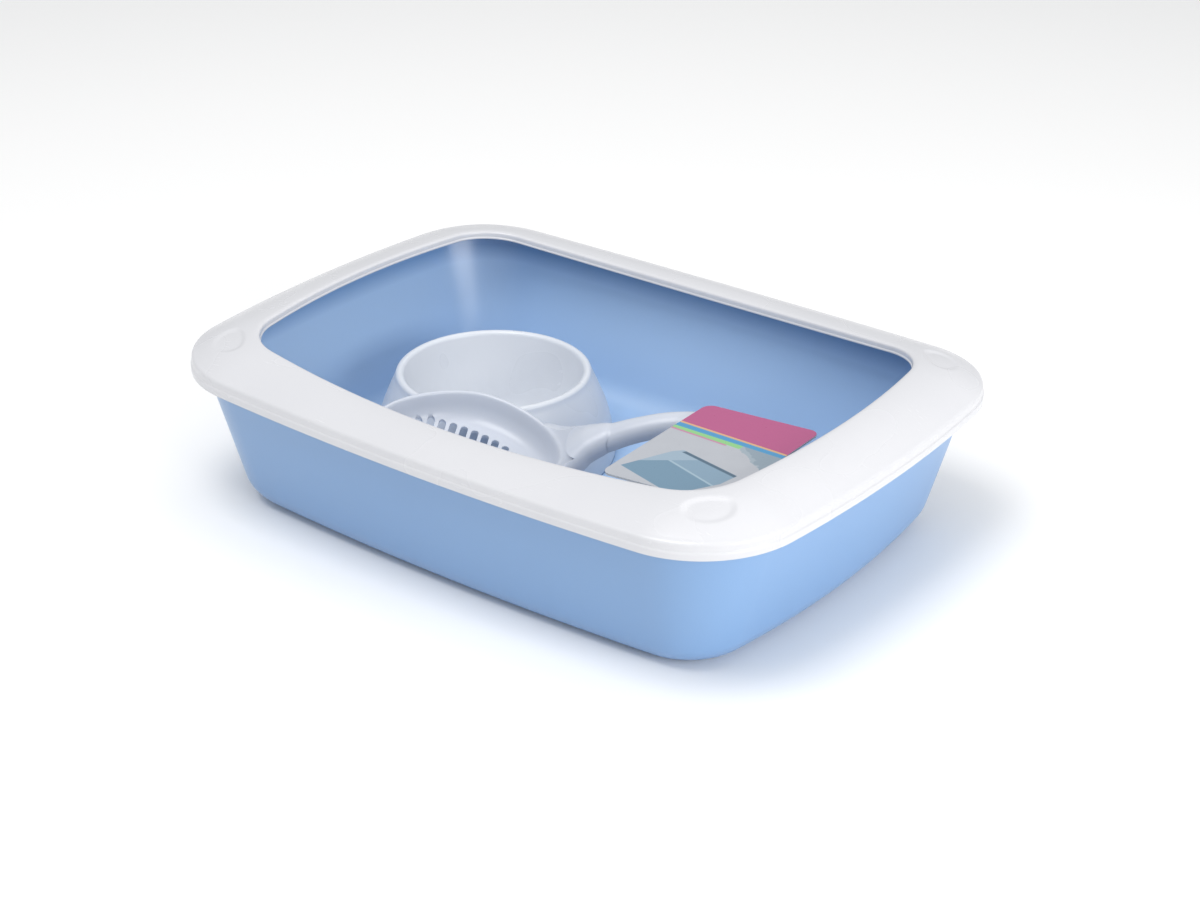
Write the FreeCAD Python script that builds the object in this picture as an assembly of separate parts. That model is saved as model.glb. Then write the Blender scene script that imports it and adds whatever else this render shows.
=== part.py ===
import FreeCAD, Part
import math
import os

# A small open cat litter tray, as sold in a starter set: the moulded tray, the rim that
# clips over its edge to keep the litter in, and what comes packed inside it, which is a
# feeding bowl, a litter scoop and a printed card.
# Millimetres. +X runs along the tray's length, +Y across it, +Z up. The origin is the
# centre of the footprint, on the surface that the tray stands on.

Vector = FreeCAD.Vector

# ---------------------------------------------------------------- driving dimensions
LENGTH = 420.0             # over the rim, along X
WIDTH = 300.0              # over the rim, along Y
RIM_CORNER = 61.0          # corner radius of the rim's outline
RIM_BOW = (8.2, 12.9)      # how far the long and the short sides bow outwards
SKIRT_BOTTOM = 84.0        # height of the rim's lower edge
SKIRT_TOP = 93.0           # height of the crease between the skirt and the sloping top
CREASE_INSET = 0.8         # crease to rim outline
SIDE_SAG = 2.5             # the edges hang this much lower at the middle of a long side
RIM_WALL = 2.0

OPENING_LENGTH = 347.0     # clear opening inside the rim
OPENING_WIDTH = 240.0
OPENING_CORNER = 33.7
OPENING_BOW = (14.6, 14.5)
OPENING_HEIGHT = 105.3     # top of the inner edge, at the ends of the tray
OPENING_SAG = 8.2          # the inner edge is this much lower at the middle of a long side
LIP_DEPTH = 5.0            # how far the inner edge turns down into the tray
SLOPE_CROWN = 2.4          # how far the sloping top bulges above a straight slope

TRAY_WALL = 2.2
TRAY_FLOOR = 2.4
TRAY_TOP = 91.4            # top face of the tray's flange
TRAY_DRAFT = 14.5          # degrees between the tray's wall and the vertical
TRAY_FILLET = 22.0         # radius where the wall turns into the floor
TRAY_TOP_INSET = 9.5       # wall to rim outline, at the height of the rim's lower edge
TRAY_BASE_CORNER = 33.0
WIDTH_SHARE = 0.85         # the wall leans in less across the tray than along it
FLANGE_INSET = 2.9         # flange edge to rim outline
FLANGE_THICKNESS = 2.2

BOWL_CENTRE = (-84.5, 21.0)
BOWL_RIM_RADIUS = 59.5
BOWL_FOOT_RADIUS = 74.0
BOWL_HEIGHT = 55.0
BOWL_WALL = 2.2

SCOOP_CENTRE = Vector(-27.4, -71.0, 63.2)    # middle of the scoop's mouth
SCOOP_HEADING = 30.2       # degrees from +X towards +Y
SCOOP_PITCH = -9.4         # degrees, negative with the handle's side of the mouth lower
SCOOP_ROLL = 10.9
DISH_HALF_LENGTH = 56.2
DISH_HALF_WIDTH = 45.6
DISH_POWER = 1.73          # exponent of the mouth's superellipse
DISH_DEPTH = 16.0
DISH_WALL = 1.8
SLOT_PITCH = 6.55
SLOT_WIDTH = 4.4
SLOT_COUNT = 10
SLOT_FIRST = -31.8         # from the middle of the mouth to the slot farthest from the handle
SLOT_REACH = 31.5          # from the scoop's centre line to the ends of the longest slot
HANDLE_SKEW = (0.2, 0.068)  # the spine's offset to +Y at the mouth's middle, and its gain per mm

CARD_CORNER = Vector(85.2, 4.4, 88.3)        # far left corner of the card's lower face
CARD_WIDTH = 72.5
CARD_LENGTH = 104.0
CARD_THICKNESS = 1.2
CARD_ROUNDING = 6.0
CARD_HEADING = 2.6
CARD_PITCH = 2.4
CARD_ROLL = -0.9

CLEARANCE = 0.3            # what rests on the tray's floor stands this far off it
POINTS_PER_ARC = 7


# ---------------------------------------------------------------- rings and skins
def arcs_of(length, width, corner, bows):
    """The eight arcs of a rounded rectangle with bowed sides, as (centre, radius, start, end)."""
    long_radius = (length / 2) ** 2 / (2 * bows[0])
    short_radius = (width / 2) ** 2 / (2 * bows[1])
    long_centre = (0.0, width / 2 - long_radius)
    short_centre = (length / 2 - short_radius, 0.0)
    # the corner arc touches both side arcs from inside, so its centre lies where two circles cross
    a = long_radius - corner
    b = short_radius - corner
    dx = short_centre[0] - long_centre[0]
    dy = short_centre[1] - long_centre[1]
    gap = math.hypot(dx, dy)
    along = (a * a - b * b + gap * gap) / (2 * gap)
    across = math.sqrt(a * a - along * along)
    crossings = [
        (long_centre[0] + (along * dx - side * across * dy) / gap,
         long_centre[1] + (along * dy + side * across * dx) / gap)
        for side in (-1, 1)
    ]
    cx, cy = max(crossings)
    long_turn = math.atan2(cy - long_centre[1], cx - long_centre[0])
    short_turn = math.atan2(cy - short_centre[1], cx - short_centre[0])
    half, full = math.pi, 2 * math.pi
    return [
        (short_centre, short_radius, -short_turn, short_turn),
        ((cx, cy), corner, short_turn, long_turn),
        (long_centre, long_radius, long_turn, half - long_turn),
        ((-cx, cy), corner, half - long_turn, half - short_turn),
        ((-short_centre[0], 0.0), short_radius, half - short_turn, half + short_turn),
        ((-cx, -cy), corner, half + short_turn, half + long_turn),
        ((0.0, -long_centre[1]), long_radius, half + long_turn, full - long_turn),
        ((cx, -cy), corner, full - long_turn, full - short_turn),
    ]


def curve(points, first_tangent, last_tangent):
    """A smooth edge through the points."""
    spline = Part.BSplineCurve()
    spline.interpolate(Points=points, InitialTangent=first_tangent, FinalTangent=last_tangent)
    return spline.toShape()


def tray_ring(length, width, corner, bows, height, sag=0.0):
    """A closed ring of eight edges that dips by sag at the middle of each long side."""
    edges = []
    for (cx, cy), radius, start, end in arcs_of(length, width, corner, bows):
        points = []
        tangents = []
        for i in range(POINTS_PER_ARC):
            turn = start + (end - start) * i / (POINTS_PER_ARC - 1)
            x = cx + radius * math.cos(turn)
            y = cy + radius * math.sin(turn)
            rise = 8 * sag * x / length ** 2
            points.append(Vector(x, y, height - sag * (1 - (2 * x / length) ** 2)))
            tangents.append(Vector(-math.sin(turn), math.cos(turn), -math.sin(turn) * rise))
        edges.append(curve(points, tangents[0], tangents[-1]))
    return edges


def solid_from(faces):
    """Sews faces into one closed solid with its faces pointing outwards."""
    shell = Part.makeShell(faces)
    shell.sewShape()
    solid = Part.makeSolid(shell)
    if solid.Volume < 0:
        solid.reverse()
    return solid


def skin(rings, closed):
    """A solid whose surface runs from ring to ring: back to the first if closed, else capped flat."""
    pairs = list(zip(rings, rings[1:]))
    if closed:
        pairs.append((rings[-1], rings[0]))
    faces = [Part.makeRuledSurface(a, b) for low, high in pairs for a, b in zip(low, high)]
    if not closed:
        faces += [Part.Face(Part.Wire(ring)) for ring in (rings[0], rings[-1])]
    return solid_from(faces)


# ---------------------------------------------------------------- tray and rim
def rim_ring(inset, height, sag=SIDE_SAG):
    """A ring parallel to the rim's outline."""
    return tray_ring(LENGTH - 2 * inset, WIDTH - 2 * inset, RIM_CORNER - inset, RIM_BOW, height, sag)


def blend_ring(share, height, sag, lift=0.0):
    """A ring part of the way from the rim's crease, share 0, to the opening, share 1."""
    def mix(low, high):
        return low + (high - low) * share
    return tray_ring(
        mix(LENGTH - 2 * CREASE_INSET, OPENING_LENGTH), mix(WIDTH - 2 * CREASE_INSET, OPENING_WIDTH),
        mix(RIM_CORNER - CREASE_INSET, OPENING_CORNER),
        (mix(RIM_BOW[0], OPENING_BOW[0]), mix(RIM_BOW[1], OPENING_BOW[1])),
        height + lift, sag)


def slope_ring(share, lift=0.0):
    """A ring on the sloping top, crowned in the middle of the slope."""
    height = SKIRT_TOP + (OPENING_HEIGHT - SKIRT_TOP) * share + 4 * SLOPE_CROWN * share * (1 - share)
    return blend_ring(share, height, SIDE_SAG + (OPENING_SAG - SIDE_SAG) * share, lift)


def rim_frame():
    """The rim: a skirt outside, a crowned slope, and an inner edge that turns down. Open below."""
    inner_share = 1 - RIM_WALL / ((LENGTH - OPENING_LENGTH) / 2)
    edge_radius = 1.2
    rings = [rim_ring(0.3, SKIRT_BOTTOM), rim_ring(0.0, SKIRT_BOTTOM + 1.5), rim_ring(0.0, SKIRT_TOP - 1.6)]
    rings += [slope_ring(share) for share in (0.0, 0.06, 0.2, 0.4, 0.6, 0.8, inner_share)]
    rings += [
        slope_ring(1.0, -edge_radius),
        slope_ring(1.0, -LIP_DEPTH),
        slope_ring(inner_share, -LIP_DEPTH - 0.1),
        slope_ring(inner_share, -RIM_WALL - 0.6),
    ]
    rings += [slope_ring(share, -RIM_WALL) for share in (0.8, 0.6, 0.4, 0.2)]
    rings += [rim_ring(RIM_WALL + 1.4, TRAY_TOP + 0.9), rim_ring(RIM_WALL, TRAY_TOP - 0.1),
              rim_ring(RIM_WALL, SKIRT_BOTTOM)]
    rim = skin(rings, closed=True)
    return rim.fuse(rim_ribs())


def rim_ribs():
    """Small upright ribs inside the skirt that grip the edge of the tray's flange."""
    depth = FLANGE_INSET - RIM_WALL - CLEARANCE
    width = 1.6
    height = 4.0
    root = 1.0
    bottom = SKIRT_BOTTOM + 1.6
    ribs = []
    for (cx, cy), radius, start, end in arcs_of(LENGTH, WIDTH, RIM_CORNER, RIM_BOW)[::2]:
        for share in (0.2, 0.4, 0.6, 0.8):
            turn = start + (end - start) * share
            x = cx + radius * math.cos(turn)
            sag = SIDE_SAG * (1 - (2 * x / LENGTH) ** 2)
            rib = Part.makeBox(root + depth, width, height, Vector(radius - RIM_WALL - depth, -width / 2, 0))
            rib.rotate(Vector(0, 0, 0), Vector(0, 0, 1), math.degrees(turn))
            rib.translate(Vector(cx, cy, bottom - sag))
            ribs.append(rib)
    return ribs


def wall_inset(height):
    """How far the tray's outer wall stands in from the rim's outline."""
    lean = math.tan(math.radians(TRAY_DRAFT))
    foot = TRAY_TOP_INSET + SKIRT_BOTTOM * lean
    tangent_height = TRAY_FILLET * (1 - math.sin(math.radians(TRAY_DRAFT)))
    if height >= tangent_height:
        return foot - height * lean
    centre = foot - TRAY_FILLET * lean + TRAY_FILLET / math.cos(math.radians(TRAY_DRAFT))
    return centre - math.sqrt(TRAY_FILLET ** 2 - (TRAY_FILLET - height) ** 2)


def wall_ring(height, thickness=0.0, level=None):
    """A ring of the tray's wall, thickness in from its outer face."""
    inset = wall_inset(height)
    share = max(0.0, 1 - height / SKIRT_BOTTOM)
    top_corner = RIM_CORNER - TRAY_TOP_INSET
    return tray_ring(
        LENGTH - 2 * inset - 2 * thickness, WIDTH - 2 * inset * WIDTH_SHARE - 2 * thickness,
        top_corner + (TRAY_BASE_CORNER - top_corner) * share - thickness, RIM_BOW,
        height if level is None else level, SIDE_SAG * (1 - share))


def litter_tray():
    """The tray: a flat floor, a large rounding, drafted walls and a flange that carries the rim."""
    fillet_steps = (0.0, 0.6, 2.2, 5.5, 10.5, TRAY_FILLET * (1 - math.sin(math.radians(TRAY_DRAFT))))
    wall_steps = (50.0, SKIRT_BOTTOM)
    flange_bottom = TRAY_TOP - FLANGE_THICKNESS
    inner_share = TRAY_WALL / math.cos(math.radians(TRAY_DRAFT))
    rings = [wall_ring(z) for z in fillet_steps + wall_steps]
    rings += [
        wall_ring(flange_bottom),
        rim_ring(FLANGE_INSET, flange_bottom),
        rim_ring(FLANGE_INSET, TRAY_TOP),
        wall_ring(TRAY_TOP, inner_share),
    ]
    inner_steps = [(50.0, 50.0), (16.5, 16.5), (10.5, 11.2), (5.5, 6.8), (2.2, 3.8), (0.6, 2.7)]
    rings += [wall_ring(z, inner_share, level) for z, level in inner_steps]
    rings.append(wall_ring(0.0, inner_share, TRAY_FLOOR))
    return skin(rings, closed=False)


# ---------------------------------------------------------------- feeding bowl
def food_bowl():
    """The bowl: one wall that forms the dish, turns over at the lip and flares down to the foot."""
    base = TRAY_FLOOR + CLEARANCE
    top = base + BOWL_HEIGHT
    lip = 2.6
    floor_radius = 38.0
    floor_top = 5.2
    web_top = top - 7.0
    web_gap = 1.4
    inner_top = BOWL_RIM_RADIUS - 2 * lip
    foot = BOWL_FOOT_RADIUS
    wall = BOWL_WALL

    def at(radius, height):
        return Vector(radius, 0, height)

    outer = Part.BSplineCurve()
    outer.interpolate([at(foot, base), at(foot - 1.2, base + 12), at(foot - 5.2, base + 30),
                       at(BOWL_RIM_RADIUS, top - lip)])
    dish = Part.BSplineCurve()
    dish.interpolate([at(inner_top, top - lip), at(inner_top - 3.2, base + 32),
                      at(inner_top - 8.5, base + 14), at(floor_radius, base + floor_top)])
    under = Part.BSplineCurve()
    under.interpolate([at(floor_radius, base + floor_top - wall), at(inner_top - 7.0, base + 12.2),
                       at(inner_top - 1.2, base + 31), at(inner_top + web_gap, web_top)])
    inside = Part.BSplineCurve()
    inside.interpolate([at(BOWL_RIM_RADIUS - web_gap, web_top), at(foot - 5.2 - wall, base + 29),
                        at(foot - 1.2 - wall, base + 12), at(foot - wall, base)])
    edges = [
        Part.makeLine(at(foot - wall, base), at(foot, base)),
        outer.toShape(),
        Part.Arc(at(BOWL_RIM_RADIUS, top - lip), at(BOWL_RIM_RADIUS - lip, top),
                 at(inner_top, top - lip)).toShape(),
        dish.toShape(),
        Part.makeLine(at(floor_radius, base + floor_top), at(0, base + floor_top)),
        Part.makeLine(at(0, base + floor_top), at(0, base + floor_top - wall)),
        Part.makeLine(at(0, base + floor_top - wall), at(floor_radius, base + floor_top - wall)),
        under.toShape(),
        Part.makeLine(at(inner_top + web_gap, web_top), at(BOWL_RIM_RADIUS - web_gap, web_top)),
        inside.toShape(),
    ]
    bowl = Part.Face(Part.Wire(edges)).revolve(Vector(0, 0, 0), Vector(0, 0, 1), 360)
    bowl.translate(Vector(BOWL_CENTRE[0], BOWL_CENTRE[1], 0))
    return bowl


# ---------------------------------------------------------------- litter scoop
def oval_ring(inset, height):
    """A ring of four edges around the scoop's dish, in the scoop's own frame."""
    a = DISH_HALF_LENGTH - inset
    b = DISH_HALF_WIDTH - inset
    steps = 24
    power = 2 / DISH_POWER

    def point(i):
        turn = 2 * math.pi * i / (4 * steps)
        c, s = math.cos(turn), math.sin(turn)
        return Vector(math.copysign(abs(c) ** power, c) * a, math.copysign(abs(s) ** power, s) * b, height)

    edges = []
    for quarter in range(4):
        chosen = [0, 2, 4, 7, 10, 14, 17, 20, 22, 24]
        points = [point(quarter * steps + k) for k in chosen]
        along = [Vector(0, 1, 0), Vector(-1, 0, 0), Vector(0, -1, 0), Vector(1, 0, 0)]
        edges.append(curve(points, along[quarter], along[(quarter + 1) % 4]))
    return edges


def dish_inside():
    """The rings of the dish's inner face, from the thickened edge down to the floor."""
    profile = [(1.6, 0.2), (3.0, -0.9), (4.1, -4.4), (5.5, -9.0), (7.9, -13.0), (11.4, -15.2),
               (15.6, -DISH_DEPTH)]
    return [oval_ring(inset, height) for inset, height in profile]


def scoop_dish():
    """The scoop's dish: a shallow oval shell with a thickened edge."""
    profile = [(15.0, -DISH_DEPTH - DISH_WALL), (10.0, -DISH_DEPTH - 0.6), (6.0, -13.8), (3.6, -9.2),
               (2.2, -4.4), (0.3, -3.8), (-0.4, -2.0), (0.3, -0.3)]
    outside = [oval_ring(inset, height) for inset, height in profile]
    return skin(outside + dish_inside(), closed=False)


def scoop_slots():
    """Cutters for the slots across the dish's floor, each as long as the floor is wide there."""
    longest_at = -15.0
    shortening = 0.0083
    edge_margin = 8.0
    depth = 14.0
    bottom = -DISH_DEPTH - 6.0
    cutters = []
    for k in range(SLOT_COUNT):
        s = SLOT_FIRST + k * SLOT_PITCH
        oval_half = DISH_HALF_WIDTH * (1 - abs(s / DISH_HALF_LENGTH) ** DISH_POWER) ** (1 / DISH_POWER)
        reach = min(SLOT_REACH - shortening * (s - longest_at) ** 2, oval_half - edge_margin)
        half = reach - SLOT_WIDTH / 2
        body = Part.makeBox(SLOT_WIDTH, 2 * half, depth, Vector(s - SLOT_WIDTH / 2, -half, bottom))
        ends = [Part.makeCylinder(SLOT_WIDTH / 2, depth, Vector(s, side * half, bottom)) for side in (-1, 1)]
        cutters.append(body.fuse(ends))
    return cutters


def arch_section(centre, slope, half_width, rise, wall, drop, power):
    """A closed ring of four edges across the handle: an arch, open below, in a plane along Y."""
    normal = Vector(-math.sin(slope), 0, math.cos(slope))
    steps = 12

    def arch(width, height):
        points = []
        for i in range(steps + 1):
            turn = math.pi * i / steps
            lift = height * math.sin(turn) ** power if 0 < i < steps else 0.0
            points.append(centre + Vector(0, width * math.cos(turn), 0) + normal * (lift - drop))
        return points

    outer = arch(half_width, rise + drop)
    inner = arch(half_width - wall, rise + drop - wall)
    outside = Part.BSplineCurve()
    outside.interpolate(outer)
    inside = Part.BSplineCurve()
    inside.interpolate(list(reversed(inner)))
    return [outside.toShape(), Part.makeLine(outer[-1], inner[-1]), inside.toShape(),
            Part.makeLine(inner[0], outer[0])]


def scoop_handle():
    """The shoulder behind the dish and the handle, as one arched shell, open below."""
    # along the scoop, height of the spine, half width, rise of the arch, depth of its sides, the
    # arch's exponent, which is smaller where the arch is flatter on top, and the wall's thickness
    stations = [
        (40.0, -2.4, 31.5, 4.5, 8.0, 0.40, 7.5),
        (46.0, -1.2, 30.0, 4.5, 8.0, 0.42, 7.5),
        (50.0, 0.0, 28.0, 4.8, 8.0, 0.45, 7.5),
        (55.0, 2.8, 25.0, 5.2, 8.0, 0.50, 7.5),
        (60.0, 7.0, 21.0, 6.0, 8.0, 0.60, 6.0),
        (65.0, 10.9, 17.0, 6.6, 7.0, 0.70, 3.6),
        (69.0, 13.8, 14.1, 6.8, 6.0, 0.75, DISH_WALL),
        (78.0, 18.9, 10.2, 6.4, 5.0, 0.80, DISH_WALL),
        (92.0, 26.6, 8.2, 5.8, 4.4, 0.80, DISH_WALL),
        (110.0, 34.6, 7.8, 5.6, 4.2, 0.80, DISH_WALL),
        (130.0, 38.7, 8.0, 5.5, 4.0, 0.80, DISH_WALL),
        (150.0, 38.3, 8.6, 5.4, 3.9, 0.80, DISH_WALL),
        (164.0, 37.9, 8.4, 5.2, 3.7, 0.80, DISH_WALL),
        (171.0, 37.7, 7.0, 4.4, 3.2, 0.80, DISH_WALL),
    ]
    rings = []
    for i, (s, height, half_width, rise, drop, power, wall) in enumerate(stations):
        before = stations[max(i - 1, 0)]
        after = stations[min(i + 1, len(stations) - 1)]
        slope = math.atan2(after[1] - before[1], after[0] - before[0])
        skew = HANDLE_SKEW[0] + HANDLE_SKEW[1] * s
        rings.append(arch_section(Vector(s, skew, height), slope, half_width, rise, wall, drop, power))
    return skin(rings, closed=False)


def litter_scoop():
    """The whole scoop, placed where it leans in the tray in front of the bowl."""
    flare = [oval_ring(inset, height) for inset, height in ((-9.0, 11.0), (0.4, 1.2))]
    hollow = skin(flare + dish_inside(), closed=False)
    scoop = scoop_dish().fuse(scoop_handle().cut(hollow)).cut(scoop_slots())
    turn = FreeCAD.Rotation(SCOOP_HEADING, -SCOOP_PITCH, SCOOP_ROLL)
    scoop.Placement = FreeCAD.Placement(SCOOP_CENTRE, turn)
    return scoop


# ---------------------------------------------------------------- printed card
def info_card():
    """The printed card that lies on the scoop's handle."""
    card = Part.makeBox(CARD_WIDTH, CARD_LENGTH, CARD_THICKNESS, Vector(0, -CARD_LENGTH, 0))
    upright = [edge for edge in card.Edges if edge.BoundBox.ZLength > CARD_THICKNESS / 2]
    card = card.makeFillet(CARD_ROUNDING, upright)
    turn = FreeCAD.Rotation(CARD_HEADING, -CARD_PITCH, CARD_ROLL)
    card.Placement = FreeCAD.Placement(CARD_CORNER, turn)
    return card


# ---------------------------------------------------------------- write the parts
os.makedirs("parts", exist_ok=True)
for make in (litter_tray, rim_frame, food_bowl, litter_scoop, info_card):
    shape = make()
    shape.exportStep("parts/" + make.__name__ + ".step")
    print(make.__name__, "solids", len(shape.Solids), "valid", shape.isValid(),
          "volume", round(shape.Volume / 1000, 1), "cm3")
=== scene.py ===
import math

import bpy
import bmesh
import numpy as np
from mathutils import Euler, Matrix, Vector


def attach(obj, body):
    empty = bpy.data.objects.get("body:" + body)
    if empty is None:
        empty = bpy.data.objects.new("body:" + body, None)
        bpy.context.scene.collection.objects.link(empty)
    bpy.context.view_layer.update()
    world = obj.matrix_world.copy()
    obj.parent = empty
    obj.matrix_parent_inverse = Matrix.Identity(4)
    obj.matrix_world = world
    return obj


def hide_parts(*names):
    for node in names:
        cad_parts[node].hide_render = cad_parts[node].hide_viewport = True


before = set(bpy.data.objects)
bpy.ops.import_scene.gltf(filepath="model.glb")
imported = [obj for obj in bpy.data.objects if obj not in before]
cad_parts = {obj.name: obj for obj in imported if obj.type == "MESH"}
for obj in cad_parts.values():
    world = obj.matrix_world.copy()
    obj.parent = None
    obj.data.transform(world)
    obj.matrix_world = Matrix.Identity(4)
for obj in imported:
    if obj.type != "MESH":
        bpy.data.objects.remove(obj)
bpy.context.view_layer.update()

# A small open cat litter tray with its clip-on rim, and what comes packed inside it: a feeding
# bowl, a litter scoop and a printed card.


# ---------------------------------------------------------------- where it is looked at from
# A long lens a little over a metre away, level with nobody's eye: it looks down past the tray's
# near right corner, so that one long side, one short side and the inside all show.
camera_turn = math.radians(37.6)
camera_rise = math.radians(26.7)
camera_distance = 1.3508
looked_at = Vector((0.0366, -0.0307, 0.060))
towards_camera = Vector((
    math.sin(camera_turn) * math.cos(camera_rise),
    -math.cos(camera_turn) * math.cos(camera_rise),
    math.sin(camera_rise),
))
camera = bpy.data.objects.new("camera", bpy.data.cameras.new("camera"))
camera.data.sensor_width = 36.0
camera.data.lens = 72.06
camera.location = looked_at + towards_camera * camera_distance
camera.rotation_euler = (-towards_camera).to_track_quat("-Z", "Y").to_euler()
bpy.context.scene.collection.objects.link(camera)
bpy.context.scene.camera = camera


# ---------------------------------------------------------------- floor and studio light
# A large sheet of matt white card for a floor, a white room around it, and three big soft
# lamps: one low on the right, a stronger one high in front, and a weak one over the back.
bpy.context.scene.view_settings.view_transform = "Standard"

world = bpy.data.worlds.new("white_room")
world.use_nodes = True
world.node_tree.nodes["Background"].inputs["Color"].default_value = (0.965, 0.98, 1.0, 1.0)
world.node_tree.nodes["Background"].inputs["Strength"].default_value = 0.55
bpy.context.scene.world = world


def soft_lamp(name, place, aim, side, power, colour):
    """A square area lamp of that side, in metres, pointing from place at aim."""
    data = bpy.data.lights.new(name, "AREA")
    data.size = side
    data.energy = power
    data.color = colour
    lamp = bpy.data.objects.new(name, data)
    lamp.location = place
    lamp.rotation_euler = (Vector(aim) - Vector(place)).to_track_quat("-Z", "Y").to_euler()
    bpy.context.scene.collection.objects.link(lamp)


soft_lamp("lamp_right", (1.6, -0.25, 0.4), (0.0, 0.0, 0.05), 1.0, 16.0, (1.0, 0.985, 0.965))
soft_lamp("lamp_front", (-0.15, -0.75, 2.0), (0.0, 0.0, 0.05), 1.1, 23.0, (1.0, 0.99, 0.98))
soft_lamp("lamp_over", (0.15, 0.5, 1.7), (0.0, 0.0, 0.05), 1.4, 5.0, (1.0, 0.99, 0.98))


def new_material(name):
    """A node material and its shader, with the nodes and links to build on."""
    material = bpy.data.materials.new(name)
    material.use_nodes = True
    tree = material.node_tree
    return material, tree.nodes, tree.links, tree.nodes["Principled BSDF"]


def add(nodes, kind, settings=None, **inputs):
    """A node with its settings and its unlinked inputs set by name, with _ for a space."""
    node = nodes.new(kind)
    for key, value in (settings or {}).items():
        setattr(node, key, value)
    for key, value in inputs.items():
        node.inputs[key.replace("_", " ")].default_value = value
    return node


floor_material, nodes, links, shader = new_material("floor_card")
shader.inputs["Roughness"].default_value = 0.75
floor_place = add(nodes, "ShaderNodeTexCoord")
floor_cloud = add(nodes, "ShaderNodeTexNoise", Scale=1.4, Detail=3.0)
floor_tone = add(nodes, "ShaderNodeMix", {"data_type": "RGBA"})
floor_tone.inputs["A"].default_value = (0.96, 0.96, 0.955, 1.0)
floor_tone.inputs["B"].default_value = (0.98, 0.98, 0.975, 1.0)
links.new(floor_place.outputs["Object"], floor_cloud.inputs["Vector"])
links.new(floor_cloud.outputs["Fac"], floor_tone.inputs["Factor"])
links.new(floor_tone.outputs["Result"], shader.inputs["Base Color"])

floor_mesh = bpy.data.meshes.new("floor")
floor_reach = 4.0
floor_mesh.from_pydata(
    [(-floor_reach, -floor_reach, 0), (floor_reach, -floor_reach, 0),
     (floor_reach, floor_reach, 0), (-floor_reach, floor_reach, 0)], [], [(0, 1, 2, 3)])
floor_mesh.materials.append(floor_material)
floor = bpy.data.objects.new("floor", floor_mesh)
bpy.context.scene.collection.objects.link(floor)


# ---------------------------------------------------------------- the tray
# The tray is one shell of sky blue polypropylene, injection moulded: a flat floor, a wide
# rounding, walls that lean outwards for release from the mould, and a flange round the top.
MM = 0.001  # sizes are in millimetres until a mesh is made
tray_length = 420.0
tray_width = 300.0
outline_corner = 61.0
outline_bow = (8.2, 12.9)
side_sag = 2.5
skirt_bottom = 84.0

wall_thickness = 2.2
floor_thickness = 2.4
flange_top = 91.4
flange_thickness = 2.2
flange_inset = 2.9
draft = math.radians(14.5)
fillet = 22.0
wall_top_inset = 9.5
base_corner = 33.0
width_share = 0.85


def bowed_outline(length, width, corner, bows, steps):
    """Points round a rounded rectangle whose sides are shallow arcs: eight arcs, each touching
    the next. steps is how many points the short side, a corner and the long side take."""
    long_radius = (length / 2) ** 2 / (2 * bows[0])
    short_radius = (width / 2) ** 2 / (2 * bows[1])
    long_y = width / 2 - long_radius
    short_x = length / 2 - short_radius
    a = long_radius - corner
    b = short_radius - corner
    gap = math.hypot(short_x, long_y)
    along = (a * a - b * b + gap * gap) / (2 * gap)
    across = math.sqrt(a * a - along * along)
    corner_x, corner_y = max(
        ((along * short_x + side * across * long_y) / gap,
         long_y + (-along * long_y + side * across * short_x) / gap)
        for side in (-1, 1))
    long_turn = math.atan2(corner_y - long_y, corner_x)
    short_turn = math.atan2(corner_y, corner_x - short_x)
    half = math.pi
    arcs = [
        (short_x, 0.0, short_radius, -short_turn, short_turn, steps[0]),
        (corner_x, corner_y, corner, short_turn, long_turn, steps[1]),
        (0.0, long_y, long_radius, long_turn, half - long_turn, steps[2]),
        (-corner_x, corner_y, corner, half - long_turn, half - short_turn, steps[1]),
    ]
    arcs += [(-x, -y, r, start + half, end + half, n) for x, y, r, start, end, n in arcs]
    points = []
    for x, y, r, start, end, n in arcs:
        for i in range(n):
            turn = start + (end - start) * i / n
            points.append((x + r * math.cos(turn), y + r * math.sin(turn)))
    return points


# A row is one level of a skin: length, width, corner, both bows, height and sag.
def outline_row(inset, height, sag=side_sag):
    """The row that runs parallel to the rim's outline."""
    return np.array([tray_length - 2 * inset, tray_width - 2 * inset, outline_corner - inset,
                     outline_bow[0], outline_bow[1], height, sag])


def row_ring(row, steps):
    """The ring of points that a row stands for, lower by its sag in the middle of a long side."""
    length, width, corner, long_bow, short_bow, height, sag = row
    outline = bowed_outline(length, width, corner, (long_bow, short_bow), steps)
    return [Vector((x, y, height - sag * (1 - (2 * x / length) ** 2))) for x, y in outline]


def eased(rows, radii, closed=False, bend=5):
    """The rows with each corner rounded: radii says how far the rounding reaches each way."""
    count = len(rows)
    made = []
    for i, (row, radius) in enumerate(zip(rows, radii)):
        inner = closed or 0 < i < count - 1
        if radius == 0 or not inner:
            made.append(row)
            continue
        ends = []
        for other in (rows[i - 1], rows[(i + 1) % count]):
            reach = math.hypot((other[0] - row[0]) / 2, other[5] - row[5])
            ends.append(row + (other - row) * min(0.5, radius / max(reach, 1e-6)))
        for k in range(bend + 1):
            t = k / bend
            made.append(ends[0] * (1 - t) ** 2 + row * 2 * t * (1 - t) + ends[1] * t * t)
    return made


def skin_mesh(name, rings, closed=False):
    """A mesh in metres from ring to ring. closed joins the last to the first, else both are capped."""
    count = len(rings[0])
    pairs = [(k, k + 1) for k in range(len(rings) - 1)]
    faces = []
    if closed:
        pairs.append((len(rings) - 1, 0))
    else:
        faces.append(list(range(count)))
        faces.append(list(range((len(rings) - 1) * count, len(rings) * count)))
    for a, b in pairs:
        for i in range(count):
            j = (i + 1) % count
            faces.append((a * count + i, a * count + j, b * count + j, b * count + i))
    mesh = bpy.data.meshes.new(name)
    mesh.from_pydata([p * MM for ring in rings for p in ring], [], faces)
    return mesh


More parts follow.
